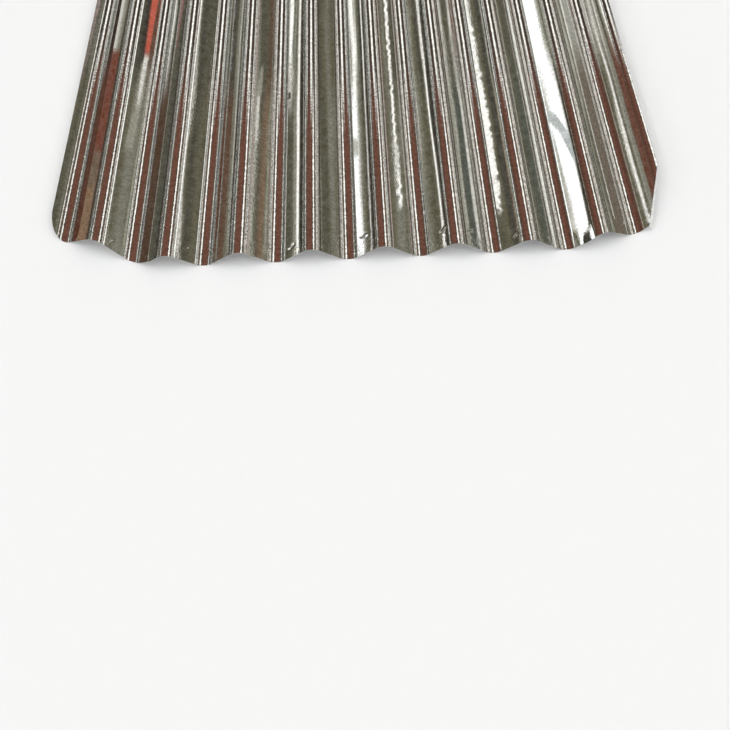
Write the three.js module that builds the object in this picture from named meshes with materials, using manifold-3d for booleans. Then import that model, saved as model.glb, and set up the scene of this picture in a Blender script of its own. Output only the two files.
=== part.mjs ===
// A corrugated steel sheet for roofs and walls, lying flat with its valleys on the floor.
// Millimetres. X runs across the corrugations, Y along them from the front end to the back end,
// and Z is up. The origin is on the floor, under the middle of the sheet.
//
// One strip of zinc-coated steel is roll-formed into even waves. Each wave is a crest bend and a
// valley bend of one radius, joined by straight flanks. Both side edges turn up beside an outer
// valley: the left one ends on a flank, which the next sheet laps over, and the right one ends on
// a crest. The corners of the front end are trimmed back.

import * as THREE from 'three';
import { mergeVertices } from 'three/addons/utils/BufferGeometryUtils.js';
import Module from 'manifold-3d';

// Driving dimensions of the sheet.
const SHEET_LENGTH = 2400;
const SHEET_WIDTH = 665;
const GAUGE = 0.3;

// The corrugation: crest to crest, floor to crest top, and the bends at mid thickness.
const PITCH = 76.2;
const DEPTH = 18;
const BEND_RADIUS = 17;

// The middle valley lies this far to the right of the sheet's middle, so a negative value makes
// the left edge the lower one.
const WAVE_SHIFT = -10;

// The left front corner, measured in from the side edge and back from the front end: a long
// slant, then a rounded corner that runs out into the side edge.
const LEFT_SLANT_START = 115;
const LEFT_SLANT_END = 24;
const LEFT_SLANT_BACK = 40;
const LEFT_CORNER_BACK = 78;
const LEFT_CORNER_NOSE = 3;

// The right front corner: a shallower slant, then a straight clip to the side edge.
const RIGHT_SLANT_START = 92;
const RIGHT_SLANT_END = 21;
const RIGHT_SLANT_BACK = 23;
const RIGHT_CLIP_BACK = 102;

// Facets: points round one bend, an even number, so that a flat lies on its crown, and segments
// round the corner. Blanks are cut from material that reaches past the finished size by STOCK.
const BEND_POINTS = 10;
const CORNER_SEGMENTS = 8;
const STOCK = 10;

const halfPitch = PITCH / 2;
const midDepth = DEPTH - GAUGE;

// With a wave of this depth and pitch, bends that meet with no flank between them have this radius.
const flanklessRadius = (halfPitch ** 2 + midDepth ** 2) / (4 * midDepth);
const bendRadius = Math.min(BEND_RADIUS, 0.98 * flanklessRadius);
const flankAngle = slopeOfFlank(bendRadius);

const wasm = await Module();
wasm.setup();

// The angle at which a straight flank leaves the bends so that it is tangent to both.
function slopeOfFlank(radius) {
  const centreRise = 2 * radius - midDepth;
  const reach = Math.hypot(halfPitch, centreRise);
  return Math.asin((2 * radius) / reach) - Math.atan2(centreRise, halfPitch);
}

// One bend from left to right, as the corners between flats that touch the true arc. The side
// of the sheet is +1 for its upper face and -1 for its lower face.
function bendPoints(bend, side) {
  const isCrest = bend % 2 !== 0;
  const up = isCrest ? 1 : -1;
  const centreHeight = isCrest ? DEPTH - GAUGE / 2 - bendRadius : GAUGE / 2 + bendRadius;
  const step = (2 * flankAngle) / BEND_POINTS;
  const radius = (bendRadius + (up * side * GAUGE) / 2) / Math.cos(step / 2);
  const points = [];
  for (let i = 0; i < BEND_POINTS; i += 1) {
    const angle = (i + 0.5) * step - flankAngle;
    const across = WAVE_SHIFT + bend * halfPitch + radius * Math.sin(angle);
    const height = centreHeight + up * radius * Math.cos(angle);
    points.push(new THREE.Vector2(across, height));
  }
  return points;
}

// The wave section, wider than the sheet. Bend 0 is the middle valley, and odd bends are crests.
function waveSection() {
  const reach = SHEET_WIDTH / 2 + Math.abs(WAVE_SHIFT);
  const outerBend = Math.ceil(reach / halfPitch) + 1;
  const upper = [];
  const lower = [];
  for (let bend = -outerBend; bend <= outerBend; bend += 1) {
    upper.push(...bendPoints(bend, 1));
    lower.push(...bendPoints(bend, -1));
  }
  return new THREE.Shape([...lower, ...upper.reverse()]);
}

// The sheet's outline seen from above, with both front corners trimmed.
function planOutline() {
  const side = SHEET_WIDTH / 2;
  const front = -SHEET_LENGTH / 2;
  const back = SHEET_LENGTH / 2;
  const outline = new THREE.Shape();
  outline.moveTo(side, back);
  outline.lineTo(-side, back);
  outline.lineTo(-side, front + LEFT_CORNER_BACK);
  outline.quadraticCurveTo(
    LEFT_CORNER_NOSE - side, front + LEFT_SLANT_BACK,
    LEFT_SLANT_END - side, front + LEFT_SLANT_BACK,
  );
  outline.lineTo(LEFT_SLANT_START - side, front);
  outline.lineTo(side - RIGHT_SLANT_START, front);
  outline.lineTo(side - RIGHT_SLANT_END, front + RIGHT_SLANT_BACK);
  outline.lineTo(side, front + RIGHT_CLIP_BACK);
  outline.closePath();
  return outline;
}

// A corrugated length of stock, longer and wider than the sheet.
function corrugatedStock() {
  const length = SHEET_LENGTH + 2 * STOCK;
  const stock = new THREE.ExtrudeGeometry(waveSection(), { depth: length, bevelEnabled: false });
  stock.rotateX(Math.PI / 2);
  stock.translate(0, length / 2, 0);
  return stock;
}

// The outline as a block that reaches past the stock above and below.
function outlineBlock() {
  const height = DEPTH + 2 * STOCK;
  const block = new THREE.ExtrudeGeometry(planOutline(), {
    depth: height,
    bevelEnabled: false,
    curveSegments: CORNER_SEGMENTS,
  });
  block.translate(0, 0, -STOCK);
  return block;
}

function toSolid(geometry) {
  const bare = geometry.clone();
  bare.deleteAttribute('normal');
  bare.deleteAttribute('uv');
  const merged = mergeVertices(bare, 1e-4);
  return new wasm.Manifold(new wasm.Mesh({
    numProp: 3,
    vertProperties: new Float32Array(merged.attributes.position.array),
    triVerts: new Uint32Array(merged.index.array),
  }));
}

function toGeometry(solid) {
  const mesh = solid.getMesh();
  const geometry = new THREE.BufferGeometry();
  geometry.setAttribute('position', new THREE.BufferAttribute(mesh.vertProperties, 3));
  geometry.setIndex(new THREE.BufferAttribute(mesh.triVerts, 1));
  geometry.computeVertexNormals();
  return geometry;
}

const brightZinc = new THREE.MeshStandardMaterial({
  name: 'bright_zinc',
  color: 0xa6aaa6,
  roughness: 0.16,
  metalness: 1,
});

const cutSheet = toSolid(corrugatedStock()).intersect(toSolid(outlineBlock()));
const sheet = new THREE.Mesh(toGeometry(cutSheet), brightZinc);
sheet.name = 'corrugated_sheet';

const part = new THREE.Group();
part.add(sheet);

export default part;
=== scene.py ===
import math

import bmesh
import bpy
from mathutils import Matrix, Vector


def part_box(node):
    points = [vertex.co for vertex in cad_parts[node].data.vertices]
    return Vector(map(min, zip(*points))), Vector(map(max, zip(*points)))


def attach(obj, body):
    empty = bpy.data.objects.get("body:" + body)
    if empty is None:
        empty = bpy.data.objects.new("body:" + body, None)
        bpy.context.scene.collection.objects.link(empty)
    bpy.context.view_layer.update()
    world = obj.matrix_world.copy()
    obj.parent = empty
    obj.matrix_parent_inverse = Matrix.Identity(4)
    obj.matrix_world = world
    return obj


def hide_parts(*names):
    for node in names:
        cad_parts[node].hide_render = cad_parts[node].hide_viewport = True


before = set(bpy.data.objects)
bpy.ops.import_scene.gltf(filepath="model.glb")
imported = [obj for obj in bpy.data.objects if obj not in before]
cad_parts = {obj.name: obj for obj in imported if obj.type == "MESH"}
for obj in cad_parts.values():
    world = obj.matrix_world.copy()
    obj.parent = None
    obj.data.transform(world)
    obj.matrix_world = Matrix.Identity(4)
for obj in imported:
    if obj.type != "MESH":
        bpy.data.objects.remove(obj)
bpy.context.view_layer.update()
LOW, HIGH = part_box("corrugated_sheet")

bl_info = {
    "name": "Corrugated Metal Sheet",
    "version": (1, 0, 0),
    "blender": (4, 5, 0),
    "location": "3D View > Sidebar > Corrugated Sheet",
    "description": "Builds a corrugated zinc-coated steel sheet and the studio it is shown in",
    "category": "Object",
}

# Facets of a bend, cuts along a flank, and bands of rows as (from, to, spacing) in metres
# from the front end: fine where the dents are, coarse towards the back.
BEND_STEPS = 12
FLANK_CUTS = (0.06, 0.28, 0.5, 0.72, 0.94)
CORNER_CHORDS = 8
ROW_BANDS = ((0.0, 0.128, 0.004), (0.128, 0.48, 0.008), (0.48, 2.4, 0.032))
WAVES = 10
SMOOTH_ANGLE = math.radians(30)
# Distances in metres: under which two points are one, and within which a point lies on a line.
MERGE = 1e-6
TOUCH = 1e-5
# How far past a corner's outline the faces to cut are taken, and how far past the sheet's edges
# what is dropped reaches.
TRIM_MARGIN = 0.009
SCRAP_MARGIN = 0.01
# The size of the shallow waves in the metal along each axis, in metres.
BUCKLE_SIZE = (0.05, 0.22, 0.05)

# Small dings as (across, back from the front end), and their depth, length and width. All are
# in metres, and so is the reach of the metal that is cut finer round each of them.
DINGS = (
    (0.091, 0.024), (0.119, 0.022), (0.007, 0.024), (-0.068, 0.013), (-0.182, 0.018),
    (-0.156, 0.020), (-0.076, 0.258), (0.166, 0.012), (-0.262, 0.030), (0.283, 0.030),
)
DING_DEPTH = 0.00012
DING_LENGTH = 0.0044
DING_WIDTH = 0.0012
DING_REACH = 0.0045
# The knocked front end of one rising flank: its place in waves from the start of the strip, how
# far back its fold lies, how much the fold slants, and its turn in degrees at parts of the way
# across the flank.
KNOCK_PLACE = 8.25
KNOCK_BACK = 0.0235
KNOCK_SLANT = 0.08
KNOCK_TURNS = ((0.06, 0.1), (0.28, 0.5), (0.5, 0.25), (0.72, -0.35), (0.94, -0.15))
# What the fold takes: this share of the flank's reach to each side of its middle, this far past
# the fold, and points within this distance of each turn's own line.
KNOCK_SHARE = 0.6
KNOCK_MARGIN = 0.006
KNOCK_LINE = 0.0008


# ---------------------------------------------------------------- sizes and colours


def length(name, description, default):
    """A length setting in metres."""
    return bpy.props.FloatProperty(
        name=name,
        description=description,
        default=default,
        unit="LENGTH",
        precision=4,
    )


def colour(name, description, default):
    """A colour setting."""
    return bpy.props.FloatVectorProperty(
        name=name,
        description=description,
        default=default,
        subtype="COLOR",
        min=0.0,
        max=1.0,
    )


class SheetSizes(bpy.types.PropertyGroup):
    """Sizes of the corrugated sheet"""

    length: length("Length", "Length along the waves", HIGH[1] - LOW[1])
    width: length("Width", "Width across the waves, edge to edge", HIGH[0] - LOW[0])
    depth: length("Depth", "Height from the floor to the crests", HIGH[2] - LOW[2])
    gauge: length("Gauge", "Thickness of the metal", 0.0003)
    pitch: length("Pitch", "Distance from crest to crest", 0.0762)
    bend_radius: length("Bend Radius", "Radius of the bends at mid thickness", 0.017)
    wave_shift: length("Wave Shift", "Middle valley to the right of the sheet's middle", -0.010)
    flank_bulge: length("Flank Bulge", "How far the flanks stand proud of flat", 0.000028)
    buckle: length("Buckle", "Height of the long shallow waves in the metal", 0.00012)
    left_slant_start: length("Left Slant Start", "In from the left edge", 0.115)
    left_slant_end: length("Left Slant End", "In from the left edge", 0.024)
    left_slant_back: length("Left Slant Back", "Back from the front end", 0.040)
    left_corner_back: length("Left Corner Back", "Back from the front end", 0.078)
    left_corner_nose: length("Left Corner Nose", "In from the left edge", 0.003)
    right_slant_start: length("Right Slant Start", "In from the right edge", 0.092)
    right_slant_end: length("Right Slant End", "In from the right edge", 0.021)
    right_slant_back: length("Right Slant Back", "Back from the front end", 0.023)
    right_clip_back: length("Right Clip Back", "Back from the front end", 0.102)
    clip_inset: length("Clip Inset", "How far inside the clip its lip is folded", 0.0018)
    clip_lip: bpy.props.FloatProperty(
        name="Clip Lip",
        description="How far the bent lip along the right clip opens from the clip's back end",
        default=math.radians(2.7),
        subtype="ANGLE",
    )
    clip_droop: bpy.props.FloatProperty(
        name="Clip Droop",
        description="How far the bent lip along the right clip droops from the clip's back end",
        default=math.radians(2.3),
        subtype="ANGLE",
    )


class SheetFinish(bpy.types.PropertyGroup):
    """Colours and finish of the corrugated sheet"""

    zinc: colour("Zinc", "Colour of the bright zinc coating", (0.70, 0.70, 0.68))
    zinc_dull: colour("Dull Zinc", "Colour of the duller crystals", (0.52, 0.52, 0.505))
    roughness: bpy.props.FloatProperty(
        name="Roughness",
        description="Roughness of the bright zinc",
        default=0.022,
        min=0.0,
        max=1.0,
        subtype="FACTOR",
    )
    roll_marks: length("Roll Marks", "Height of the long marks left by the rolls", 0.000007)
    grain: length("Grain", "Height of the fine grain", 0.000011)
    bend_grain: length("Bend Grain", "Height of the grain that the bends add", 0.00006)
    # Painted shade: how far the zinc colour is darkened towards black where a bend meets a flank.
    shoulder_shading: bpy.props.FloatProperty(
        name="Shoulders",
        description="How much duller the zinc is where a bend meets a flank",
        default=0.25,
        min=0.0,
        max=1.0,
        subtype="FACTOR",
    )


class StudioSettings(bpy.types.PropertyGroup):
    """Floor, light and camera of the studio"""

    floor: colour("Floor", "Colour of the floor", (0.95, 0.95, 0.95))
    floor_size: length("Floor Size", "Side of the square floor", 80.0)
    lens: bpy.props.FloatProperty(
        name="Lens",
        description="Focal length in millimetres",
        default=43.69,
        min=10.0,
    )
    pitch: bpy.props.FloatProperty(
        name="Pitch",
        description="How far the camera looks below the horizon",
        default=math.radians(56.90),
        subtype="ANGLE",
    )
    yaw: bpy.props.FloatProperty(
        name="Yaw",
        description="How far the camera is turned to the left of the waves",
        default=math.radians(0.36),
        subtype="ANGLE",
    )
    roll: bpy.props.FloatProperty(
        name="Roll",
        description="How far the camera is rolled about its own axis",
        default=math.radians(-2.79),
        subtype="ANGLE",
    )
    place: bpy.props.FloatVectorProperty(
        name="Place",
        description="Where the camera stands",
        default=(0.0057, -1.8029, 0.7200),
        subtype="TRANSLATION",
        unit="LENGTH",
    )


# ---------------------------------------------------------------- modelling helpers


def start_fresh():
    """Leave edit mode and deselect everything."""
    if bpy.context.mode != "OBJECT":
        bpy.ops.object.mode_set(mode="OBJECT")
    bpy.ops.object.select_all(action="DESELECT")


def edited():
    """The mesh being edited."""
    return bmesh.from_edit_mesh(bpy.context.object.data)


def pick(kind, test):
    """Select only the vertices, edges or faces of the edited mesh that pass a test."""
    bpy.ops.mesh.select_mode(type=kind)
    bpy.ops.mesh.select_all(action="DESELECT")
    mesh = edited()
    items = {"VERT": mesh.verts, "EDGE": mesh.edges, "FACE": mesh.faces}[kind]
    picked = [item for item in items if test(item)]
    for item in picked:
        item.select_set(True)
    mesh.select_flush_mode()
    bmesh.update_edit_mesh(bpy.context.object.data)
    return len(picked)


def cut(place, normal, clear_outer=False):
    """Cut the selected part of the edited mesh with a plane."""
    bpy.ops.mesh.bisect(
        plane_co=place,
        plane_no=normal,
        clear_outer=clear_outer,
        threshold=MERGE,
    )


def cut_all(place, normal, clear_outer=False):
    """Cut the whole edited mesh with a plane."""
    bpy.ops.mesh.select_all(action="SELECT")
    cut(place, normal, clear_outer)


def merge_points():
    """Merge the edited mesh's points that lie on each other."""
    bpy.ops.mesh.select_all(action="SELECT")
    bpy.ops.mesh.remove_doubles(threshold=MERGE)


def apply_modifier(piece, name, kind, **settings):
    """Add a modifier to the active piece, set it and apply it."""
    modifier = piece.modifiers.new(name, kind)
    for key, value in settings.items():
        setattr(modifier, key, value)
    bpy.ops.object.modifier_apply(modifier=modifier.name)


def inside(point, polygon):
    """Whether a plan point lies inside a plan polygon."""
    x, y = point
    hit = False
    for (ax, ay), (bx, by) in zip(polygon, polygon[1:] + polygon[:1]):
        if (ay > y) != (by > y) and x < ax + (bx - ax) * (y - ay) / (by - ay):
            hit = not hit
    return hit


# ---------------------------------------------------------------- the sheet


class Wave:
    """The wave's own measures, worked out from the sheet's sizes."""

    def __init__(self, sizes):
        self.pitch = sizes.pitch
        self.half = sizes.pitch / 2
        radius = sizes.bend_radius
        centre_rise = 2 * radius - (sizes.depth - sizes.gauge)
        reach = math.hypot(self.half, centre_rise)
        self.angle = math.asin(2 * radius / reach) - math.atan2(centre_rise, self.half)
        self.flank = (self.half - 2 * radius * math.sin(self.angle)) / math.cos(self.angle)
        self.crest_centre = sizes.depth - sizes.gauge / 2 - radius
        self.valley_centre = sizes.gauge / 2 + radius
        self.start = sizes.wave_shift - WAVES / 2 * sizes.pitch
        self.bulge = sizes.flank_bulge

    def proud(self, part):
        """How far the flank stands proud at a part of its length."""
        return 4 * self.bulge * part * (1 - part)


def row_places(sizes):
    """Where the rows of the mesh run across the sheet, front to back."""
    places = []
    for low, high, spacing in ROW_BANDS:
        count = round((high - low) / spacing)
        for i in range(count):
            places.append(low + (i + 1) * (high - low) / count - sizes.length / 2)
    return places[:-1]


def model_wave(sizes, wave):
    """One wave of the strip: a rising flank, a crest, a falling flank and a valley."""
    bpy.ops.mesh.primitive_plane_add(size=1)
    piece = bpy.context.object
    bpy.ops.object.mode_set(mode="EDIT")
    bpy.ops.mesh.select_all(action="SELECT")
    bpy.ops.transform.resize(value=(wave.flank, sizes.length, 1))
    for part in FLANK_CUTS:
        across = wave.flank * (part - 0.5)
        cut_all((across, 0, 0), (1, 0, 0))
        pick("VERT", lambda v: abs(v.co.x - across) < MERGE)
        bpy.ops.transform.translate(value=(0, 0, wave.proud(part)))
    for place in row_places(sizes):
        cut_all((0, place, 0), (0, 1, 0))
    bpy.ops.mesh.select_all(action="SELECT")
    bpy.ops.transform.rotate(value=wave.angle, orient_axis="Y", center_override=(0, 0, 0))
    bpy.ops.transform.translate(value=(wave.start + wave.half / 2, 0, sizes.depth / 2))
    upper = max(edited().verts, key=lambda v: v.co.z).co.x
    if upper < wave.start + wave.half / 2:
        raise RuntimeError("the first flank of the wave slopes the wrong way")
    pick("EDGE", lambda e: all(abs(v.co.x - upper) < MERGE for v in e.verts))
    bpy.ops.mesh.spin(
        steps=BEND_STEPS,
        angle=-2 * wave.angle,
        center=(wave.start + wave.half, 0, wave.crest_centre),
        axis=(0, 1, 0),
    )
    along = Vector((math.cos(wave.angle), 0, -math.sin(wave.angle)))
    out = Vector((math.sin(wave.angle), 0, math.cos(wave.angle)))
    last, last_proud = 0.0, 0.0
    for part in FLANK_CUTS + (1.0,):
        proud = wave.proud(part)
        shift = along * wave.flank * (part - last) + out * (proud - last_proud)
        bpy.ops.mesh.extrude_edges_move(
            MESH_OT_extrude_edges_indiv={},
            TRANSFORM_OT_translate={"value": shift},
        )
        last, last_proud = part, proud
    bpy.ops.mesh.spin(
        steps=BEND_STEPS,
        angle=2 * wave.angle,
        center=(wave.start + wave.pitch, 0, wave.valley_centre),
        axis=(0, 1, 0),
    )
    bpy.ops.object.mode_set(mode="OBJECT")
    return piece


def left_corner(sizes):
    """Plan outline of the left front corner, from the front end to the side edge."""
    side = -sizes.width / 2
    front = -sizes.length / 2
    slant_end = Vector((side + sizes.left_slant_end, front + sizes.left_slant_back))
    nose = Vector((side + sizes.left_corner_nose, front + sizes.left_slant_back))
    edge = Vector((side, front + sizes.left_corner_back))
    outline = [Vector((side + sizes.left_slant_start, front)), slant_end]
    for i in range(1, CORNER_CHORDS + 1):
        t = i / CORNER_CHORDS
        outline.append((1 - t) ** 2 * slant_end + 2 * t * (1 - t) * nose + t * t * edge)
    return outline


def right_corner(sizes):
    """Plan outline of the right front corner, from the front end to the side edge."""
    side = sizes.width / 2
    front = -sizes.length / 2
    rise = sizes.right_slant_back / (sizes.right_slant_start - sizes.right_slant_end)
    inner = side - sizes.right_slant_end - sizes.clip_inset
    return [
        Vector((side - sizes.right_slant_start, front)),
        Vector((inner, front + sizes.right_slant_back - sizes.clip_inset * rise)),
        Vector((side, front + sizes.right_clip_back)),
    ]


def trim_corner(outline, beyond):
    """Cut the edited sheet along a corner's outline and drop what lies beyond it."""
    for start, end in zip(outline, outline[1:]):
        low = Vector((min(start.x, end.x) - TRIM_MARGIN, min(start.y, end.y) - TRIM_MARGIN))
        high = Vector((max(start.x, end.x) + TRIM_MARGIN, max(start.y, end.y) + TRIM_MARGIN))

        def near(face):
            middle = face.calc_center_median()
            return low.x < middle.x < high.x and low.y < middle.y < high.y

        pick("FACE", near)
        run = end - start
        cut((start.x, start.y, 0), (-run.y, run.x, 0))
    first, last = outline[0], outline[-1]
    scrap = [tuple(point) for point in outline]
    ahead = first.y - SCRAP_MARGIN
    scrap += [(beyond, last.y), (beyond, ahead), (first.x, ahead)]
    pick("FACE", lambda f: inside(f.calc_center_median().xy, scrap))
    bpy.ops.mesh.delete(type="FACE")


def bend_clip_lip(sizes):
    """Draw a narrow lip out of the right clip's cut edge and bend it out and down."""
    inner, outer = right_corner(sizes)[1:]
    run = (outer - inner).normalized()

    def on_clip(edge):
        spans = [vert.co.xy - inner for vert in edge.verts]
        on_line = all(abs(span.cross(run)) < TOUCH and span.y > -TOUCH for span in spans)
        return edge.is_boundary and on_line

    if not pick("EDGE", on_clip):
        raise RuntimeError("the right clip has no cut edge to bend")
    bpy.ops.mesh.extrude_edges_move(
        MESH_OT_extrude_edges_indiv={},
        TRANSFORM_OT_translate={"value": (0, 0, 0)},
    )
    hinge = (outer.x, outer.y, max(v.co.z for v in edited().verts if v.select))
    for axis, turn in (("Z", -sizes.clip_lip), ("X", -sizes.clip_droop)):
        bpy.ops.transform.rotate(value=turn, orient_axis=axis, center_override=hinge)
    merge_points()


def fold_knocked_end(sizes, wave):
    """Fold the front end of one flank, up at parts of its width and down at others."""
    back = KNOCK_BACK - sizes.length / 2
    middle = wave.start + KNOCK_PLACE * wave.pitch
    reach = wave.flank * math.cos(wave.angle)

    def at_end(face):
        place = face.calc_center_median()
        return abs(place.x - middle) < reach * KNOCK_SHARE and place.y < back + KNOCK_MARGIN

    pick("FACE", at_end)
    cut((middle, back, 0), (KNOCK_SLANT, 1, 0))
    for part, turn in KNOCK_TURNS:
        across = middle + (part - 0.5) * reach
        height = sizes.depth / 2 + (part - 0.5) * wave.flank * math.sin(wave.angle)
        fold = back - KNOCK_SLANT * (across - middle)

        def on_line(vert):
            return abs(vert.co.x - across) < KNOCK_LINE and vert.co.y < fold - TOUCH

        if not pick("VERT", on_line):
            raise RuntimeError("the knocked end has no metal to fold")
        bpy.ops.transform.rotate(
            value=math.radians(turn),
            orient_axis="X",
            center_override=(across, fold, height),
        )


def press_dings(sizes):
    """Press the small dings into the metal."""
    for across, back in DINGS:
        place = Vector((across, back - sizes.length / 2))
        pick("FACE", lambda f: (f.calc_center_median().xy - place).length < DING_REACH)
        bpy.ops.mesh.subdivide(number_cuts=2)
        near = min(edited().verts, key=lambda v: (v.co.xy - place).length)
        spot = near.co.copy()

        def in_ding(vert):
            gap = vert.co - spot
            along = abs(gap.x + gap.y) / math.sqrt(2)
            beside = abs(gap.x - gap.y) / math.sqrt(2)
            return along < DING_LENGTH / 2 and beside < DING_WIDTH / 2

        pick("VERT", in_ding)
        bpy.ops.transform.translate(value=(0, 0, -DING_DEPTH))


class OBJECT_OT_build_corrugated_sheet(bpy.types.Operator):
    """Build the corrugated sheet"""

    bl_idname = "object.build_corrugated_sheet"
    bl_label = "Corrugated Sheet"

    def execute(self, context):
        sizes = context.scene.sheet_sizes
        wave = Wave(sizes)
        start_fresh()
        piece = model_wave(sizes, wave)
        piece.name = "zinc_sheet"
        apply_modifier(
            piece,
            "Waves",
            "ARRAY",
            count=WAVES,
            use_relative_offset=False,
            use_constant_offset=True,
            constant_offset_displace=(wave.pitch, 0, 0),
            use_merge_vertices=True,
            merge_threshold=TOUCH,
        )
        bpy.ops.object.mode_set(mode="EDIT")
        half = sizes.width / 2
        cut_all((-half, 0, 0), (-1, 0, 0), clear_outer=True)
        cut_all((half, 0, 0), (1, 0, 0), clear_outer=True)
        trim_corner(left_corner(sizes), -half - SCRAP_MARGIN)
        trim_corner(right_corner(sizes), half + SCRAP_MARGIN)
        merge_points()
        fold_knocked_end(sizes, wave)
        press_dings(sizes)
        bend_clip_lip(sizes)
        bpy.ops.mesh.select_all(action="SELECT")
        bpy.ops.mesh.normals_make_consistent(inside=False)
        bpy.ops.object.mode_set(mode="OBJECT")
        middle = piece.data.polygons[len(piece.data.polygons) // 2]
        if middle.normal.z < 0:
            bpy.ops.object.mode_set(mode="EDIT")
            bpy.ops.mesh.select_all(action="SELECT")
            bpy.ops.mesh.flip_normals()
            bpy.ops.object.mode_set(mode="OBJECT")
        buckle_metal(piece, sizes)
        apply_modifier(
            piece,
            "Gauge",
            "SOLIDIFY",
            thickness=sizes.gauge,
            offset=0.0,
            use_even_offset=True,
            use_rim=True,
        )
        bpy.ops.object.shade_smooth_by_angle(angle=SMOOTH_ANGLE)
        piece.data.materials.clear()
        piece.data.materials.append(zinc_material(context.scene.sheet_finish))
        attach(piece, "root")
        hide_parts("corrugated_sheet")
        return {"FINISHED"}


def buckle_metal(piece, sizes):
    """Give the metal its long shallow waves."""
    guide = bpy.data.objects.new("buckle_guide", None)
    bpy.context.scene.collection.objects.link(guide)
    guide.scale = BUCKLE_SIZE
    bpy.context.view_layer.update()
    clouds = bpy.data.textures.new("Buckles", "CLOUDS")
    clouds.noise_scale = 1.0
    clouds.noise_depth = 1
    apply_modifier(
        piece,
        "Buckles",
        "DISPLACE",
        texture=clouds,
        texture_coords="OBJECT",
        texture_coords_object=guide,
        direction="NORMAL",
        strength=sizes.buckle,
        mid_level=0.5,
    )
    bpy.data.textures.remove(clouds)
    bpy.data.objects.remove(guide)


# ---------------------------------------------------------------- node helpers

# The sockets of a Mix node that mixes colours.
MIX_FACTOR, MIX_A, MIX_B = 0, 6, 7
MIX_RESULT = 2


class Nodes:
    """Adds nodes to a tree and wires them up."""

    def __init__(self, tree):
        self.tree = tree
        self.tree.nodes.clear()

    def add(self, kind, **settings):
        """Add a node and set it."""
        node = self.tree.nodes.new(kind)
        for key, value in settings.items():
            setattr(node, key, value)
        return node

    def wire(self, value, socket):
        """Link an output to a socket, or set the socket's own value."""
        if isinstance(value, bpy.types.NodeSocket):
            self.tree.links.new(value, socket)
        else:
            socket.default_value = value

    def math(self, operation, a, b=0.0, c=0.0):
        """Do a sum with up to three values."""
        node = self.add("ShaderNodeMath", operation=operation)
        self.wire(a, node.inputs[0])
        self.wire(b, node.inputs[1])
        self.wire(c, node.inputs[2])
        return node.outputs[0]

    def spread(self, value, low, high, to_low=0.0, to_high=1.0, smooth=False):
        """Map a value from one range to another, clamped."""
        kind = "SMOOTHSTEP" if smooth else "LINEAR"
        node = self.add("ShaderNodeMapRange", interpolation_type=kind, clamp=True)
        names = ("Value", "From Min", "From Max", "To Min", "To Max")
        for name, item in zip(names, (value, low, high, to_low, to_high)):
            self.wire(item, node.inputs[name])
        return node.outputs["Result"]

    def mix(self, factor, a, b):
        """Mix two colours."""
        node = self.add("ShaderNodeMix", data_type="RGBA")
        self.wire(factor, node.inputs[MIX_FACTOR])
        self.wire(a, node.inputs[MIX_A])
        self.wire(b, node.inputs[MIX_B])
        return node.outputs[MIX_RESULT]

    def noise(self, place, scale, detail):
        """Noise at a place, stretched by a scale along each axis."""
        stretch = self.add("ShaderNodeMapping")
        stretch.inputs["Scale"].default_value = scale
        self.wire(place, stretch.inputs["Vector"])
        noise = self.add("ShaderNodeTexNoise")
        noise.inputs["Scale"].default_value = 1.0
        noise.inputs["Detail"].default_value = detail
        self.wire(stretch.outputs[0], noise.inputs["Vector"])
        return noise.outputs["Fac"]


# ---------------------------------------------------------------- the zinc

# Scales of the patterns in the zinc, to a metre: the crystals, the cloudy gloss, the patches of
# grain, the roll marks and the finer ones between them, and the grain itself.
CRYSTALS = 480.0
GLOSS = (60.0, 60.0, 60.0)
PATCHES = (26.0, 7.0, 26.0)
ROLL_MARKS = (150.0, 3.0, 150.0)
FINE_ROLL_MARKS = (600.0, 9.0, 600.0)
GRAIN = (520.0, 420.0, 520.0)
# The least and most of the roughness, and the height of the fine roll marks and of the grain
# between its patches, as shares of the full one.
ROUGHNESS_RANGE = (0.7, 1.4)
FINE_ROLL_SHARE = 0.12
BARE_SHARE = 0.05
# The parts of the noise that the cloudy gloss and the patches are spread over.
GLOSS_RANGE = (0.35, 0.65)
PATCH_RANGE = (0.5, 0.7)
# How upright the metal's normal is from where a flank ends to where a bend begins, and from where
# the painted shade on the shoulder of a bend ends to where it is darkest.
BEND_RANGE = (0.855, 0.885)
SHOULDER_SHADE_RANGE = (0.965, 0.925)
# The front end is scuffed from here forwards, in metres back from the end.
SCUFFED = 0.03


def relief(nodes, place, scale, height, below):
    """A layer of noise relief: its scale along each axis, its height and the layer below."""
    bump = nodes.add("ShaderNodeBump")
    nodes.wire(height, bump.inputs["Distance"])
    nodes.wire(nodes.noise(place, scale, 1.0), bump.inputs["Height"])
    if below is not None:
        nodes.wire(below, bump.inputs["Normal"])
    return bump.outputs[0]


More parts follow.
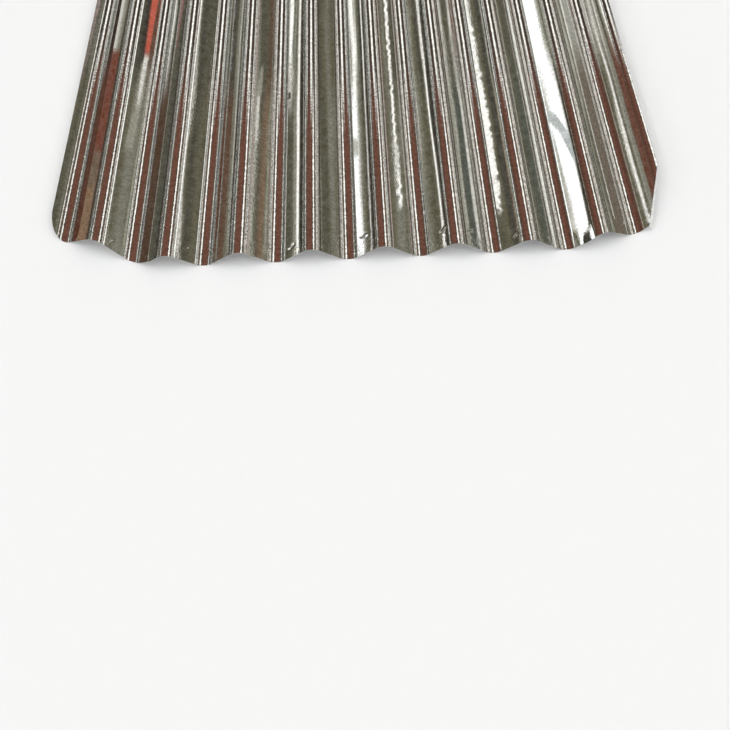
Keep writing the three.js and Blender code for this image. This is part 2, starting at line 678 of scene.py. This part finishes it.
def zinc_material(finish):
    """Bright zinc with a fine spangle, roll marks along the sheet and patches of grain."""
    material = bpy.data.materials.new("bright_zinc_coating")
    material.use_nodes = True
    nodes = Nodes(material.node_tree)
    output = nodes.add("ShaderNodeOutputMaterial")
    shader = nodes.add("ShaderNodeBsdfPrincipled")
    nodes.wire(shader.outputs[0], output.inputs["Surface"])
    shader.inputs["Metallic"].default_value = 1.0
    place = nodes.add("ShaderNodeTexCoord").outputs["Object"]

    crystals = nodes.add("ShaderNodeTexVoronoi")
    crystals.inputs["Scale"].default_value = CRYSTALS
    nodes.wire(place, crystals.inputs["Vector"])
    shade = nodes.add("ShaderNodeSeparateColor")
    nodes.wire(crystals.outputs["Color"], shade.inputs[0])
    dull = (*finish.zinc_dull, 1.0)
    bright = (*finish.zinc, 1.0)
    spangle_and_shade = nodes.mix(shade.outputs[0], dull, bright)
    # The rolls leave the bends grainier than the flanks. Where a bend meets a flank, the zinc
    # colour is darkened towards black: painted shade, which shows as a dark line in the
    # reflections.
    facing = nodes.add("ShaderNodeSeparateXYZ")
    nodes.wire(nodes.add("ShaderNodeNewGeometry").outputs["Normal"], facing.inputs[0])
    level = nodes.math("ABSOLUTE", facing.outputs[2])
    bend = nodes.spread(level, *BEND_RANGE)
    # Painted shade on the shoulders of the bends, laid over the spangle.
    shoulder_shade = nodes.math("MULTIPLY", bend, nodes.spread(level, *SHOULDER_SHADE_RANGE))
    spangle_and_shade = nodes.mix(nodes.math("MULTIPLY", shoulder_shade, finish.shoulder_shading), spangle_and_shade, (0, 0, 0, 1))
    nodes.wire(spangle_and_shade, shader.inputs["Base Color"])

    low, high = (finish.roughness * share for share in ROUGHNESS_RANGE)
    rough = nodes.spread(nodes.noise(place, GLOSS, 3.0), *GLOSS_RANGE, low, high)
    nodes.wire(rough, shader.inputs["Roughness"])

    patches = nodes.noise(place, PATCHES, 1.0)
    grain = nodes.spread(patches, *PATCH_RANGE, finish.grain * BARE_SHARE, finish.grain)
    axes = nodes.add("ShaderNodeSeparateXYZ")
    nodes.wire(place, axes.inputs[0])
    scuffs = nodes.spread(axes.outputs[1], LOW[1] + SCUFFED, LOW[1], 0.0, finish.grain)
    grain = nodes.math("ADD", grain, scuffs)
    grain = nodes.math("MULTIPLY_ADD", bend, finish.bend_grain, grain)
    layers = relief(nodes, place, ROLL_MARKS, finish.roll_marks, None)
    layers = relief(nodes, place, FINE_ROLL_MARKS, finish.roll_marks * FINE_ROLL_SHARE, layers)
    layers = relief(nodes, place, GRAIN, grain, layers)
    nodes.wire(layers, shader.inputs["Normal"])
    return material


# ---------------------------------------------------------------- the studio

# Light of the studio's plain walls, of the backdrop that the camera sees, and of the lamps,
# boards and gaps that the sheet mirrors, as red, green and blue.
PLAIN = (1.19, 1.20, 1.215)
BACKDROP = (0.96, 0.96, 0.95)
HAZE = (0.62, 0.63, 0.62)
FLAG = (0.20, 0.205, 0.20)
LAMP = (2.45, 2.46, 2.48)
WHITE = (1.72, 1.70, 1.63)
SKY = (1.88, 1.95, 1.98)
MIST = (0.76, 0.80, 0.80)
MILK = (1.05, 1.02, 0.95)
BONE = (0.75, 0.74, 0.66)
PALE = (0.46, 0.45, 0.365)
GREY = (0.305, 0.298, 0.242)
ROSE = (0.62, 0.50, 0.46)
PINK = (0.40, 0.21, 0.19)
TAN = (0.34, 0.22, 0.14)
SAND = (0.36, 0.295, 0.24)
CLAY = (0.25, 0.185, 0.135)
OLIVE = (0.208, 0.190, 0.130)
MOSS = (0.150, 0.142, 0.102)
SLATE = (0.140, 0.155, 0.130)
UMBER = (0.185, 0.116, 0.080)
BRICK = (0.250, 0.098, 0.068)
RUST = (0.229, 0.104, 0.074)
CORAL = (0.80, 0.190, 0.130)
INK = (0.112, 0.106, 0.084)
DARK = (0.075, 0.066, 0.053)
SOOT = (0.100, 0.074, 0.058)

# What each flank mirrors, as (part of the way across it, light) from its left to its right,
# and last what lies between its slice of the studio and the next one's.
# The near light is what the front of the sheet mirrors, and the far light the rest.
RISING_NEAR = (
    ((0.0, BRICK), (1.0, BRICK), (1.08, DARK)),
    ((0.0, DARK), (0.1, INK), (0.25, MOSS), (0.6, MOSS), (0.9, INK), (1.02, SLATE),
     (1.1, DARK)),
    ((-0.05, DARK), (0.03, UMBER), (0.6, UMBER), (0.68, GREY), (0.74, OLIVE), (0.84, GREY),
     (0.9, OLIVE), (0.95, BONE), (1.02, BONE), (1.08, DARK)),
    ((0.0, MOSS), (0.22, MOSS), (0.32, OLIVE), (0.4, PALE), (0.46, GREY), (0.56, PALE),
     (0.63, WHITE), (0.8, WHITE), (0.88, PALE), (0.96, MOSS), (1.02, DARK)),
    ((-0.06, DARK), (0.0, MILK), (0.06, SKY), (0.22, SKY), (0.3, MILK), (0.4, GREY),
     (0.55, OLIVE), (0.7, MOSS), (0.84, INK), (0.88, MILK), (0.96, MILK), (1.02, DARK)),
    ((-0.06, MILK), (0.0, PALE), (0.08, GREY), (0.22, OLIVE), (0.4, MOSS), (0.58, OLIVE),
     (0.68, GREY), (0.75, WHITE), (0.84, WHITE), (0.9, MOSS), (1.0, DARK)),
    ((0.0, MOSS), (0.38, OLIVE), (0.6, INK), (0.95, INK), (1.04, UMBER), (1.12, PALE)),
    ((-0.14, MOSS), (-0.06, PALE), (0.05, BONE), (0.13, MILK), (0.22, SKY), (0.9, SKY),
     (0.98, MILK), (1.04, MOSS), (1.1, DARK)),
    ((-0.05, MOSS), (0.04, OLIVE), (0.16, OLIVE), (0.21, WHITE), (0.25, WHITE), (0.28, MOSS),
     (0.37, OLIVE), (0.4, WHITE), (0.45, MILK), (0.5, GREY), (0.66, GREY), (0.76, PALE),
     (0.81, UMBER), (0.9, RUST), (1.1, RUST)),
)
RISING_FAR = (
    ((0.0, INK), (0.14, MOSS), (0.24, BONE), (0.34, MILK), (0.45, BONE), (0.6, PALE),
     (0.8, GREY), (1.0, OLIVE), (1.08, DARK)),
    ((0.0, DARK), (0.1, INK), (0.3, MOSS), (0.8, MOSS), (1.0, INK), (1.1, DARK)),
    ((-0.05, DARK), (0.02, INK), (0.5, INK), (0.62, OLIVE), (0.7, GREY), (0.9, GREY),
     (0.96, BONE), (1.02, BONE), (1.1, MOSS)),
    ((-0.04, OLIVE), (0.0, PALE), (0.05, WHITE), (0.15, WHITE), (0.21, GREY), (0.3, OLIVE),
     (0.37, PALE), (0.44, GREY), (0.5, MOSS), (0.6, OLIVE), (0.68, PALE), (0.75, WHITE),
     (0.84, WHITE), (0.92, PALE), (0.99, DARK)),
    ((-0.04, MOSS), (0.02, GREY), (0.08, MILK), (0.14, WHITE), (0.26, WHITE), (0.33, PALE),
     (0.42, GREY), (0.6, MOSS), (0.7, DARK), (0.84, DARK), (0.88, WHITE), (0.94, WHITE),
     (1.0, OLIVE), (1.06, DARK)),
    ((-0.08, BONE), (0.0, PALE), (0.08, OLIVE), (0.2, OLIVE), (0.3, INK), (0.5, INK),
     (0.6, OLIVE), (0.67, MILK), (0.72, WHITE), (0.82, WHITE), (0.88, MOSS), (1.0, DARK)),
    ((0.0, MOSS), (0.35, OLIVE), (0.7, INK), (0.9, INK), (1.0, GREY), (1.08, BONE),
     (1.16, DARK)),
    ((-0.12, GREY), (-0.04, MILK), (0.04, SKY), (0.58, SKY), (0.66, MILK), (0.74, BONE),
     (0.88, PALE), (1.0, GREY), (1.06, DARK), (1.14, PALE)),
    ((-0.05, MOSS), (0.0, MILK), (0.05, MILK), (0.1, MOSS), (0.16, BONE), (0.24, MILK),
     (0.32, BONE), (0.38, GREY), (0.43, GREY), (0.48, MILK), (0.56, MILK), (0.62, PALE),
     (0.72, PALE), (0.78, INK), (0.9, MOSS), (1.0, GREY), (1.08, PALE)),
)
FALLING_NEAR = (
    ((0.0, OLIVE), (0.56, OLIVE), (0.65, MOSS), (0.8, MOSS), (0.88, OLIVE), (0.96, GREY),
     (1.02, MOSS), (1.08, DARK), (1.16, WHITE)),
    ((-0.04, MOSS), (0.02, PALE), (0.07, PALE), (0.12, MOSS), (0.25, OLIVE), (0.4, GREY),
     (0.7, GREY), (0.78, OLIVE), (0.84, PALE), (0.93, PALE), (1.0, MOSS), (1.08, DARK),
     (1.16, WHITE)),
    ((0.0, DARK), (0.04, DARK), (0.07, MILK), (0.14, MILK), (0.19, OLIVE), (0.3, MOSS),
     (0.45, INK), (0.6, MOSS), (0.8, OLIVE), (1.0, MOSS), (1.1, ROSE)),
    ((-0.02, OLIVE), (0.04, PALE), (0.09, BONE), (0.17, BONE), (0.24, OLIVE), (0.42, MOSS),
     (0.5, CLAY), (0.72, TAN), (0.8, OLIVE), (0.86, PALE), (0.93, PALE), (0.99, MOSS),
     (1.08, DARK)),
    ((-0.02, PALE), (0.05, OLIVE), (0.1, MOSS), (0.4, MOSS), (0.5, OLIVE), (0.6, GREY),
     (0.78, GREY), (0.9, OLIVE), (1.0, GREY), (1.1, ROSE)),
    ((0.0, MOSS), (0.2, OLIVE), (0.4, GREY), (0.7, GREY), (0.8, OLIVE), (0.95, GREY),
     (1.03, PALE), (1.1, DARK)),
    ((-0.04, OLIVE), (0.04, GREY), (0.12, PALE), (0.22, PALE), (0.3, BONE), (0.36, MOSS),
     (0.45, SLATE), (0.72, SLATE), (0.77, MILK), (0.84, MILK), (0.9, GREY), (1.0, MOSS),
     (1.1, PALE)),
    ((-0.03, GREY), (0.0, PALE), (0.04, PALE), (0.09, MOSS), (0.5, SLATE), (0.68, OLIVE),
     (0.75, GREY), (0.85, OLIVE), (0.92, MOSS), (1.0, PALE), (1.06, PALE), (1.12, DARK)),
    ((0.0, MOSS), (0.06, PALE), (0.1, BONE), (0.15, PALE), (0.2, PALE), (0.26, MOSS),
     (0.32, MOSS), (0.42, CLAY), (1.0, CLAY), (1.1, UMBER)),
)
FALLING_FAR = (
    ((0.0, MOSS), (0.5, MOSS), (0.56, ROSE), (0.63, ROSE), (0.68, DARK), (0.8, INK),
     (0.87, GREY), (0.98, GREY), (1.04, DARK), (1.1, DARK), (1.16, WHITE)),
    ((-0.03, GREY), (0.05, OLIVE), (0.15, INK), (0.35, DARK), (0.9, UMBER), (1.0, DARK),
     (1.1, DARK), (1.16, WHITE)),
    ((-0.02, OLIVE), (0.04, OLIVE), (0.07, BONE), (0.13, BONE), (0.18, MOSS), (0.4, INK),
     (0.6, MOSS), (1.0, MOSS), (1.1, ROSE)),
    ((-0.02, GREY), (0.1, GREY), (0.16, MOSS), (0.5, MOSS), (0.86, UMBER), (0.89, GREY),
     (0.93, GREY), (0.97, INK), (1.08, DARK)),
    ((-0.02, OLIVE), (0.08, INK), (0.2, MOSS), (0.45, OLIVE), (0.62, GREY), (0.75, OLIVE),
     (0.9, MOSS), (1.0, OLIVE), (1.1, ROSE)),
    ((0.0, MOSS), (0.15, OLIVE), (0.24, GREY), (0.32, GREY), (0.38, OLIVE), (0.5, OLIVE),
     (0.76, MOSS), (1.0, MOSS), (1.1, DARK)),
    ((-0.04, GREY), (0.04, PALE), (0.12, BONE), (0.2, MILK), (0.28, PALE), (0.38, MOSS),
     (0.72, MOSS), (0.77, MILK), (0.84, MILK), (0.89, OLIVE), (0.98, INK), (1.1, PALE)),
    ((-0.03, PALE), (0.04, PALE), (0.12, OLIVE), (0.25, MOSS), (0.9, MOSS), (1.0, GREY),
     (1.06, PALE), (1.12, DARK)),
    ((-0.04, GREY), (0.05, PALE), (0.12, BONE), (0.2, PALE), (0.27, MOSS), (0.34, MOSS),
     (0.48, OLIVE), (0.6, PALE), (0.74, BONE), (0.92, MILK), (1.05, BONE)),
)

# What the bends mirror from overhead, as (angle in degrees from overhead, light).
OVERHEAD_NEAR = (
    (-37.5, RUST), (-36.0, UMBER), (-33.5, UMBER), (-31.0, RUST), (3.0, RUST), (5.0, DARK),
    (8.5, DARK), (10.0, WHITE), (17.0, WHITE), (19.0, DARK), (24.0, UMBER), (28.0, SAND),
    (33.0, SAND), (33.8, WHITE), (36.2, WHITE), (36.8, MOSS),
)
OVERHEAD_FAR = (
    (-38.4, WHITE), (-37.2, WHITE), (-36.6, MOSS), (-34.0, MOSS), (-33.4, WHITE),
    (-31.5, WHITE), (-30.0, SOOT), (-8.0, SOOT), (-6.0, WHITE), (6.0, WHITE), (8.0, SOOT),
    (28.5, SOOT), (29.5, BONE), (32.0, BONE), (32.8, WHITE), (36.2, WHITE), (36.8, MOSS),
)
# Plain light lies beyond the outer flanks' slices of the studio.
LEFT_END = (-95.0, PLAIN)
RIGHT_END = (92.0, PLAIN)
# Plainer strips of lamp and flag all round the rest of the studio, as (angle, light).
AROUND = (
    (-90.0, PLAIN), (-80.0, PLAIN), (-76.0, FLAG), (-70.0, FLAG), (-67.0, LAMP), (-60.0, LAMP),
    (-57.0, FLAG), (-50.0, FLAG), (-47.0, LAMP), (-39.0, LAMP), (-36.0, HAZE), (-30.0, FLAG),
    (-27.0, LAMP), (-22.0, LAMP), (-19.0, HAZE), (-12.0, FLAG), (-6.0, HAZE), (0.0, FLAG),
    (6.0, HAZE), (12.0, FLAG), (19.0, HAZE), (22.0, LAMP), (27.0, LAMP), (30.0, FLAG),
    (36.0, HAZE), (39.0, LAMP), (47.0, LAMP), (50.0, FLAG), (57.0, FLAG), (60.0, LAMP),
    (67.0, LAMP), (70.0, FLAG), (76.0, FLAG), (80.0, PLAIN), (90.0, PLAIN),
)
# The share of the way to the next flank's slice of the studio that one flank mirrors, and how
# far short of the next slice the light between two slices ends, as a part of one slice.
FLANK_SLICE = 0.44
SLICE_LEAD = 0.12
# The number, from the left, of the two flanks that meet in the middle valley.
MIDDLE_FLANK = 4
# A colour ramp holds few stops, so a longer one is a chain of ramps of this many stops.
RAMP_STOPS = 28
# Reach is how far a mirrored direction runs along the sheet for each unit that it runs across
# and up. The light changes over these reaches: from the near light to the far light, from the
# studio round the sheet to what lies ahead of it, and from that to the plain far end.
NEAR_TO_FAR = (1.12, 1.26)
AROUND_TO_AHEAD = (0.45, 0.65)
AHEAD_TO_PLAIN = (1.7, 3.0)
# Heights, on a ball of radius 1, between which the plain light of the horizon ends.
HORIZON = (-0.01, 0.03)

# Single boards and lamps that one flank mirrors along part of its length: whether the flank
# rises, its number from the left, the light, and at the near and the far end the reach, the
# middle and the half width, as parts of the way across the flank.
BOARDS = (
    (True, 0, BRICK, (0.50, 0.50, 0.62), (1.235, 0.50, 0.62)),
    (True, 0, CLAY, (0.70, 0.50, 0.60), (1.00, 0.50, 0.45)),
    (True, 0, TAN, (0.70, 0.50, 0.55), (0.93, 0.50, 0.40)),
    (True, 1, PINK, (1.27, 0.40, 0.08), (1.60, 0.60, 0.28)),
    (True, 2, WHITE, (1.25, 0.10, 0.04), (1.60, 0.08, 0.07)),
    (True, 6, WHITE, (0.90, 0.12, 0.02), (0.96, 0.13, 0.10)),
    (True, 6, WHITE, (0.96, 0.13, 0.10), (1.60, 0.10, 0.07)),
    (True, 4, BONE, (1.05, 0.14, 0.10), (1.09, 0.12, 0.12)),
    (True, 7, SKY, (0.90, 0.20, 0.04), (0.96, 0.18, 0.12)),
    (True, 7, SKY, (0.96, 0.18, 0.12), (1.06, 0.16, 0.12)),
    (True, 7, MIST, (0.965, 0.98, 0.06), (1.025, 0.66, 0.32)),
    (True, 7, MIST, (1.025, 0.66, 0.32), (1.08, 0.02, 0.14)),
    (False, 1, PALE, (1.02, 0.42, 0.14), (1.22, 0.58, 0.14)),
    (False, 1, PALE, (0.98, 0.86, 0.04), (1.20, 0.98, 0.04)),
    (False, 1, MILK, (1.12, 0.50, 0.05), (1.245, 0.63, 0.09)),
    (False, 1, CORAL, (1.245, 0.63, 0.08), (1.60, 0.66, 0.26)),
    (False, 3, MILK, (1.08, 0.19, 0.03), (1.19, 0.21, 0.04)),
    (False, 3, PALE, (1.19, 0.24, 0.06), (1.26, 0.26, 0.04)),
    (False, 5, WHITE, (0.935, 0.54, 0.05), (1.60, 0.64, 0.04)),
    (False, 7, WHITE, (0.50, 0.78, 0.04), (0.99, 0.78, 0.05)),
    (False, 7, WHITE, (1.17, 0.80, 0.04), (1.60, 0.78, 0.06)),
)
# The soft sides of a board, as a part of a slice, and its soft ends, as a reach.
BOARD_EDGE = 0.05
BOARD_END = 0.012
# The white lamps have ragged sides: how far they stray, as a part of a slice, and how often.
RAGGED = 0.06
RAGGED_SCALE = 75.0
# Mottle of the surroundings: spots to a degree across and to one reach along, and how much
# their light differs.
MOTTLE_ACROSS = 0.9
MOTTLE_ALONG = 90.0
MOTTLE = 0.05
# The part of the noise that the ragged sides and the mottle are spread over.
NOISE_RANGE = (0.3, 0.7)
# The floor's roughness, the width of the camera's sensor in millimetres, and how far it sees
# in metres.
FLOOR_ROUGHNESS = 0.9
SENSOR_WIDTH = 36.0
SIGHT = 200.0


def flank_middle(sizes, studio, number, rising):
    """The angle from overhead that the middle of a flank mirrors, in degrees."""
    side = -1 if rising else 1
    height = studio.place[2] - sizes.depth / 2
    across = sizes.wave_shift + (number - MIDDLE_FLANK - side / 4) * sizes.pitch
    lean = math.atan2(across - studio.place[0], height)
    return math.degrees(lean + 2 * side * Wave(sizes).angle)


def slice_width(sizes, studio):
    """The width in degrees of the slice of the studio that a flank mirrors."""
    height = studio.place[2] - sizes.depth / 2
    return math.degrees(sizes.pitch / height) * FLANK_SLICE


def flank_stops(sizes, studio, strips, rising):
    """Turn what each flank mirrors into angles from overhead."""
    width = slice_width(sizes, studio)
    stops = []
    for number, strip in enumerate(strips):
        middle = flank_middle(sizes, studio, number, rising)
        stops += [(middle + (part - 0.5) * width, light) for part, light in strip]
        if number < len(strips) - 1:
            beyond = flank_middle(sizes, studio, number + 1, rising)
            stops.append((beyond - (0.5 + SLICE_LEAD) * width, strip[-1][1]))
    return stops


def ramp(nodes, angle, stops):
    """A colour ramp over the angle from overhead."""
    low, high = stops[0][0], stops[-1][0]
    node = nodes.add("ShaderNodeValToRGB")
    nodes.wire(nodes.spread(angle, low, high), node.inputs[0])
    marks = node.color_ramp.elements
    while len(marks) > 1:
        marks.remove(marks[-1])
    for i, (place, light) in enumerate(stops):
        mark = marks[0] if i == 0 else marks.new((place - low) / (high - low))
        mark.position = (place - low) / (high - low)
        mark.color = (*light, 1.0)
    return node.outputs[0]


def long_ramp(nodes, angle, stops):
    """A colour ramp of any number of stops, as a chain of short ones."""
    light = ramp(nodes, angle, stops[: RAMP_STOPS + 1])
    for start in range(RAMP_STOPS, len(stops) - 1, RAMP_STOPS):
        beyond = nodes.math("GREATER_THAN", angle, stops[start][0])
        light = nodes.mix(beyond, light, ramp(nodes, angle, stops[start : start + RAMP_STOPS + 1]))
    return light


def lay_board(nodes, light, angle, reach, sizes, studio, board):
    """Lay one board or lamp, with soft edges, over the light behind it."""
    rising, number, colour, near, far = board
    middle = flank_middle(sizes, studio, number, rising)
    width = slice_width(sizes, studio)
    low, high = near[0], far[0]
    centre = nodes.spread(
        reach, low, high, middle + (near[1] - 0.5) * width, middle + (far[1] - 0.5) * width
    )
    half = nodes.spread(reach, low, high, near[2] * width, far[2] * width)
    away = nodes.math("ABSOLUTE", nodes.math("SUBTRACT", angle, centre))
    outer = nodes.math("ADD", half, BOARD_EDGE * width)
    across = nodes.spread(away, half, outer, 1.0, 0.0, smooth=True)
    begun = nodes.spread(reach, low - BOARD_END, low + BOARD_END, smooth=True)
    ended = nodes.spread(reach, high - BOARD_END, high + BOARD_END, 1.0, 0.0, smooth=True)
    along = nodes.math("MULTIPLY", begun, ended)
    return nodes.mix(nodes.math("MULTIPLY", across, along), light, (*colour, 1.0))


def mottle_light(nodes, light, angle, reach):
    """Break up the plain boards a little, as rough surroundings do."""
    spots = nodes.add("ShaderNodeCombineXYZ")
    nodes.wire(nodes.math("MULTIPLY", angle, MOTTLE_ACROSS), spots.inputs[0])
    nodes.wire(nodes.math("MULTIPLY", reach, MOTTLE_ALONG), spots.inputs[1])
    noise = nodes.add("ShaderNodeTexNoise")
    noise.inputs["Scale"].default_value = 1.0
    noise.inputs["Detail"].default_value = 3.0
    noise.inputs["Roughness"].default_value = 0.7
    nodes.wire(spots.outputs[0], noise.inputs["Vector"])
    change = nodes.spread(noise.outputs["Fac"], *NOISE_RANGE, -MOTTLE, MOTTLE)
    blend = nodes.add("ShaderNodeVectorMath", operation="ADD")
    nodes.wire(light, blend.inputs[0])
    nodes.wire(change, blend.inputs[1])
    return blend.outputs[0]


def light_the_studio(scene, sizes, studio):
    """Strip lamps, flags and boards round the sheet, as one procedural world."""
    world = bpy.data.worlds.new("studio_light")
    scene.world = world
    world.use_nodes = True
    world.cycles.sampling_method = "NONE"
    nodes = Nodes(world.node_tree)
    output = nodes.add("ShaderNodeOutputWorld")
    background = nodes.add("ShaderNodeBackground")
    nodes.wire(background.outputs[0], output.inputs["Surface"])
    way = nodes.add("ShaderNodeSeparateXYZ")
    nodes.wire(nodes.add("ShaderNodeTexCoord").outputs["Generated"], way.inputs[0])
    x, y, z = way.outputs
    angle = nodes.math("MULTIPLY", nodes.math("ARCTAN2", x, z), math.degrees(1))
    squares = nodes.math("ADD", nodes.math("MULTIPLY", x, x), nodes.math("MULTIPLY", z, z))
    reach = nodes.math("DIVIDE", y, nodes.math("SQRT", squares))

    near, far = (
        long_ramp(
            nodes,
            angle,
            [LEFT_END]
            + flank_stops(sizes, studio, rising, True)
            + list(overhead)
            + flank_stops(sizes, studio, falling, False)
            + [RIGHT_END],
        )
        for rising, overhead, falling in (
            (RISING_NEAR, OVERHEAD_NEAR, FALLING_NEAR),
            (RISING_FAR, OVERHEAD_FAR, FALLING_FAR),
        )
    )
    ahead = nodes.mix(nodes.spread(reach, *NEAR_TO_FAR, smooth=True), near, far)
    ragged = nodes.add("ShaderNodeTexNoise", noise_dimensions="1D")
    ragged.inputs["Scale"].default_value = RAGGED_SCALE
    nodes.wire(reach, ragged.inputs["W"])
    stray = RAGGED * slice_width(sizes, studio)
    shift = nodes.spread(ragged.outputs["Fac"], *NOISE_RANGE, -stray, stray)
    ragged_angle = nodes.math("ADD", angle, shift)
    for board in BOARDS:
        across = ragged_angle if board[2] == WHITE else angle
        ahead = lay_board(nodes, ahead, across, reach, sizes, studio, board)
    ahead = mottle_light(nodes, ahead, angle, reach)
    around = long_ramp(nodes, angle, AROUND)
    light = nodes.mix(nodes.spread(reach, *AROUND_TO_AHEAD, smooth=True), around, ahead)
    light = nodes.mix(nodes.spread(reach, *AHEAD_TO_PLAIN, smooth=True), light, (*PLAIN, 1.0))
    light = nodes.mix(nodes.spread(z, *HORIZON, smooth=True), (*PLAIN, 1.0), light)
    # The camera sees a plain backdrop, and the sheet mirrors the studio.
    seen = nodes.add("ShaderNodeLightPath").outputs["Is Camera Ray"]
    light = nodes.mix(seen, light, (*BACKDROP, 1.0))
    nodes.wire(light, background.inputs["Color"])


class OBJECT_OT_build_studio(bpy.types.Operator):
    """Build the floor, the light and the camera"""

    bl_idname = "object.build_studio"
    bl_label = "Studio"

    def execute(self, context):
        scene = context.scene
        studio = scene.studio_settings
        start_fresh()
        bpy.ops.mesh.primitive_plane_add(size=studio.floor_size)
        floor = context.object
        floor.name = "studio_floor"
        material = bpy.data.materials.new("floor_paint")
        material.use_nodes = True
        shader = material.node_tree.nodes["Principled BSDF"]
        shader.inputs["Base Color"].default_value = (*studio.floor, 1.0)
        shader.inputs["Roughness"].default_value = FLOOR_ROUGHNESS
        shader.inputs["Specular IOR Level"].default_value = 0.0
        floor.data.materials.append(material)
        light_the_studio(scene, scene.sheet_sizes, studio)
        place_camera(scene, studio)
        scene.view_settings.view_transform = "Standard"
        return {"FINISHED"}


def place_camera(scene, studio):
    """Stand the camera at its place and turn it by its pitch, yaw and roll."""
    bpy.ops.object.camera_add()
    camera = bpy.context.object
    camera.name = "studio_camera"
    camera.data.sensor_fit = "HORIZONTAL"
    camera.data.sensor_width = SENSOR_WIDTH
    camera.data.lens = studio.lens
    camera.data.clip_end = SIGHT
    turn = Matrix.Rotation(studio.yaw, 3, "Z")
    forward = turn @ Vector((0, math.cos(studio.pitch), -math.sin(studio.pitch)))
    right = turn @ Vector((1, 0, 0))
    up = turn @ Vector((0, math.sin(studio.pitch), math.cos(studio.pitch)))
    cosine, sine = math.cos(studio.roll), math.sin(studio.roll)
    axes = (cosine * right + sine * up, cosine * up - sine * right, -forward)
    place = Vector(studio.place)
    camera.matrix_world = Matrix(
        [[axis[row] for axis in axes] + [place[row]] for row in range(3)] + [[0, 0, 0, 1]]
    )
    scene.camera = camera


# ---------------------------------------------------------------- the sidebar


class VIEW3D_PT_corrugated_sheet(bpy.types.Panel):
    """Buttons that build the sheet and the studio"""

    bl_label = "Corrugated Sheet"
    bl_space_type = "VIEW_3D"
    bl_region_type = "UI"
    bl_category = "Corrugated Sheet"

    def draw(self, context):
        layout = self.layout
        for operator in STEPS:
            layout.operator(operator.bl_idname)
        for group in (
            context.scene.sheet_sizes,
            context.scene.sheet_finish,
            context.scene.studio_settings,
        ):
            box = layout.box()
            for name in group.__annotations__:
                box.prop(group, name)


STEPS = (OBJECT_OT_build_studio, OBJECT_OT_build_corrugated_sheet)
CLASSES = (SheetSizes, SheetFinish, StudioSettings, *STEPS, VIEW3D_PT_corrugated_sheet)


def register():
    for item in CLASSES:
        bpy.utils.register_class(item)
    bpy.types.Scene.sheet_sizes = bpy.props.PointerProperty(type=SheetSizes)
    bpy.types.Scene.sheet_finish = bpy.props.PointerProperty(type=SheetFinish)
    bpy.types.Scene.studio_settings = bpy.props.PointerProperty(type=StudioSettings)


def unregister():
    del bpy.types.Scene.studio_settings
    del bpy.types.Scene.sheet_finish
    del bpy.types.Scene.sheet_sizes
    for item in reversed(CLASSES):
        bpy.utils.unregister_class(item)


def main():
    register()
    bpy.ops.object.build_studio()
    bpy.ops.object.build_corrugated_sheet()


if __name__ == "__main__":
    main()
